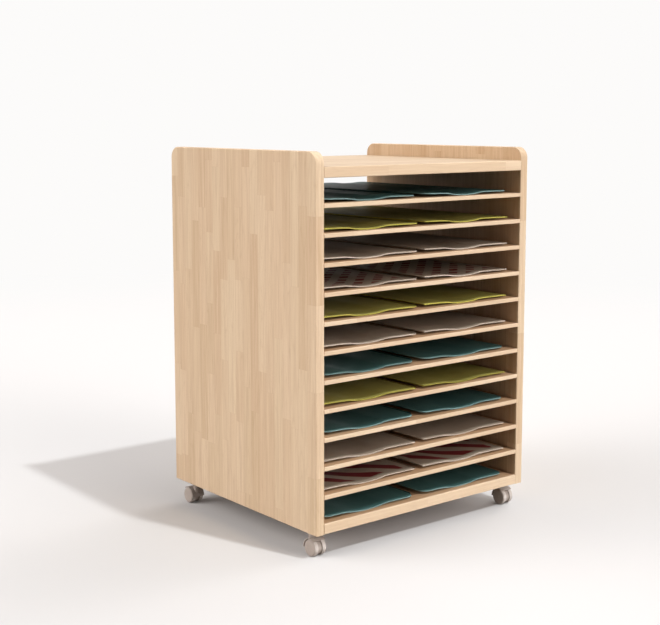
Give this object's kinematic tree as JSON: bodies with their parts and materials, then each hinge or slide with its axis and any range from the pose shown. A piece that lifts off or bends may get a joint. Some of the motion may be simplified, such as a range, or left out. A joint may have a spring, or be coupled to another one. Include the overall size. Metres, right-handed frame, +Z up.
{
  "type": "rolling flat paper storage rack",
  "caption": "Rolling beech rack with shallow open shelf compartments for flat craft and scrapbook paper.",
  "frame": {"origin": "on the floor, under the middle of the rack, where the casters' treads touch", "axes": "+Z up, +X to the right seen from the front, +Y to the back; the papers come out towards -Y"},
  "size_m": [0.69, 0.605, 0.9416],
  "materials": {
    "beech_panel": "lacquered beech stave board, satin",
    "beech_board": "lacquered beech stave board, satin",
    "beech_shelf": "lacquered beech board, satin",
    "dowel_beech": "plain turned beech",
    "zinc_steel": "zinc plated",
    "caster_plastic": "moulded light grey nylon, satin",
    "teal_paper": "coated craft paper, slightly glossy",
    "lime_paper": "uncoated craft paper",
    "white_paper": "uncoated craft paper"
  },
  "bodies": {
    "rack": {"side_panel_left": "beech_panel", "side_panel_right": "beech_panel", "top_board": "beech_board", "bottom_board": "beech_board", "shelf_01": "beech_shelf", "shelf_02": "beech_shelf", "shelf_03": "beech_shelf", "shelf_04": "beech_shelf", "shelf_05": "beech_shelf", "shelf_06": "beech_shelf", "shelf_07": "beech_shelf", "shelf_08": "beech_shelf", "shelf_09": "beech_shelf", "shelf_10": "beech_shelf", "shelf_11": "beech_shelf", "dowels": "dowel_beech", "cam_bolts": "zinc_steel", "cam_discs": "zinc_steel", "caster_screws": "zinc_steel", "stem_clips": "zinc_steel", "front_left_caster_plate": "zinc_steel", "front_right_caster_plate": "zinc_steel", "back_left_caster_plate": "zinc_steel", "back_right_caster_plate": "zinc_steel"},
    "front_left_caster": {"front_left_caster_housing": "caster_plastic", "front_left_caster_axle": "zinc_steel"},
    "front_left_wheel_outer": {"front_left_wheel_outer": "caster_plastic"},
    "front_left_wheel_inner": {"front_left_wheel_inner": "caster_plastic"},
    "front_right_caster": {"front_right_caster_housing": "caster_plastic", "front_right_caster_axle": "zinc_steel"},
    "front_right_wheel_outer": {"front_right_wheel_outer": "caster_plastic"},
    "front_right_wheel_inner": {"front_right_wheel_inner": "caster_plastic"},
    "back_left_caster": {"back_left_caster_housing": "caster_plastic", "back_left_caster_axle": "zinc_steel"},
    "back_left_wheel_outer": {"back_left_wheel_outer": "caster_plastic"},
    "back_left_wheel_inner": {"back_left_wheel_inner": "caster_plastic"},
    "back_right_caster": {"back_right_caster_housing": "caster_plastic", "back_right_caster_axle": "zinc_steel"},
    "back_right_wheel_outer": {"back_right_wheel_outer": "caster_plastic"},
    "back_right_wheel_inner": {"back_right_wheel_inner": "caster_plastic"},
    "papers_01": {"papers_01": "teal_paper"},
    "papers_02": {"papers_02": "lime_paper"},
    "papers_03": {"papers_03": "white_paper"},
    "papers_04": {"papers_04": "white_paper"},
    "papers_05": {"papers_05": "lime_paper"},
    "papers_06": {"papers_06": "white_paper"},
    "papers_07": {"papers_07": "teal_paper"},
    "papers_08": {"papers_08": "lime_paper"},
    "papers_09": {"papers_09": "teal_paper"},
    "papers_10": {"papers_10": "white_paper"},
    "papers_11": {"papers_11": "white_paper"},
    "papers_12": {"papers_12": "teal_paper"}
  },
  "joints": [
    {"name": "front_left_swivel", "type": "hinge", "parent": "rack", "child": "front_left_caster", "pos_m": [-0.316, -0.249, 0.0577], "axis": [0, 0, 1], "continuous": true},
    {"name": "front_left_outer_spin", "type": "hinge", "parent": "front_left_caster", "child": "front_left_wheel_outer", "pos_m": [-0.316, -0.263, 0.02], "axis": [1, 0, 0], "continuous": true},
    {"name": "front_left_inner_spin", "type": "hinge", "parent": "front_left_caster", "child": "front_left_wheel_inner", "pos_m": [-0.316, -0.263, 0.02], "axis": [1, 0, 0], "continuous": true},
    {"name": "front_right_swivel", "type": "hinge", "parent": "rack", "child": "front_right_caster", "pos_m": [0.316, -0.249, 0.0577], "axis": [0, 0, 1], "continuous": true},
    {"name": "front_right_outer_spin", "type": "hinge", "parent": "front_right_caster", "child": "front_right_wheel_outer", "pos_m": [0.316, -0.263, 0.02], "axis": [1, 0, 0], "continuous": true},
    {"name": "front_right_inner_spin", "type": "hinge", "parent": "front_right_caster", "child": "front_right_wheel_inner", "pos_m": [0.316, -0.263, 0.02], "axis": [1, 0, 0], "continuous": true},
    {"name": "back_left_swivel", "type": "hinge", "parent": "rack", "child": "back_left_caster", "pos_m": [-0.316, 0.249, 0.0577], "axis": [0, 0, 1], "continuous": true},
    {"name": "back_left_outer_spin", "type": "hinge", "parent": "back_left_caster", "child": "back_left_wheel_outer", "pos_m": [-0.316, 0.263, 0.02], "axis": [1, 0, 0], "continuous": true},
    {"name": "back_left_inner_spin", "type": "hinge", "parent": "back_left_caster", "child": "back_left_wheel_inner", "pos_m": [-0.316, 0.263, 0.02], "axis": [1, 0, 0], "continuous": true},
    {"name": "back_right_swivel", "type": "hinge", "parent": "rack", "child": "back_right_caster", "pos_m": [0.316, 0.249, 0.0577], "axis": [0, 0, 1], "continuous": true},
    {"name": "back_right_outer_spin", "type": "hinge", "parent": "back_right_caster", "child": "back_right_wheel_outer", "pos_m": [0.316, 0.263, 0.02], "axis": [1, 0, 0], "continuous": true},
    {"name": "back_right_inner_spin", "type": "hinge", "parent": "back_right_caster", "child": "back_right_wheel_inner", "pos_m": [0.316, 0.263, 0.02], "axis": [1, 0, 0], "continuous": true},
    {"name": "papers_01_slide", "type": "slide", "parent": "rack", "child": "papers_01", "axis": [0, -1, 0], "range_m": [0, 0.28]},
    {"name": "papers_02_slide", "type": "slide", "parent": "rack", "child": "papers_02", "axis": [0, -1, 0], "range_m": [0, 0.28]},
    {"name": "papers_03_slide", "type": "slide", "parent": "rack", "child": "papers_03", "axis": [0, -1, 0], "range_m": [0, 0.28]},
    {"name": "papers_04_slide", "type": "slide", "parent": "rack", "child": "papers_04", "axis": [0, -1, 0], "range_m": [0, 0.28]},
    {"name": "papers_05_slide", "type": "slide", "parent": "rack", "child": "papers_05", "axis": [0, -1, 0], "range_m": [0, 0.28]},
    {"name": "papers_06_slide", "type": "slide", "parent": "rack", "child": "papers_06", "axis": [0, -1, 0], "range_m": [0, 0.28]},
    {"name": "papers_07_slide", "type": "slide", "parent": "rack", "child": "papers_07", "axis": [0, -1, 0], "range_m": [0, 0.28]},
    {"name": "papers_08_slide", "type": "slide", "parent": "rack", "child": "papers_08", "axis": [0, -1, 0], "range_m": [0, 0.28]},
    {"name": "papers_09_slide", "type": "slide", "parent": "rack", "child": "papers_09", "axis": [0, -1, 0], "range_m": [0, 0.28]},
    {"name": "papers_10_slide", "type": "slide", "parent": "rack", "child": "papers_10", "axis": [0, -1, 0], "range_m": [0, 0.28]},
    {"name": "papers_11_slide", "type": "slide", "parent": "rack", "child": "papers_11", "axis": [0, -1, 0], "range_m": [0, 0.28]},
    {"name": "papers_12_slide", "type": "slide", "parent": "rack", "child": "papers_12", "axis": [0, -1, 0], "range_m": [0, 0.28]}
  ]
}
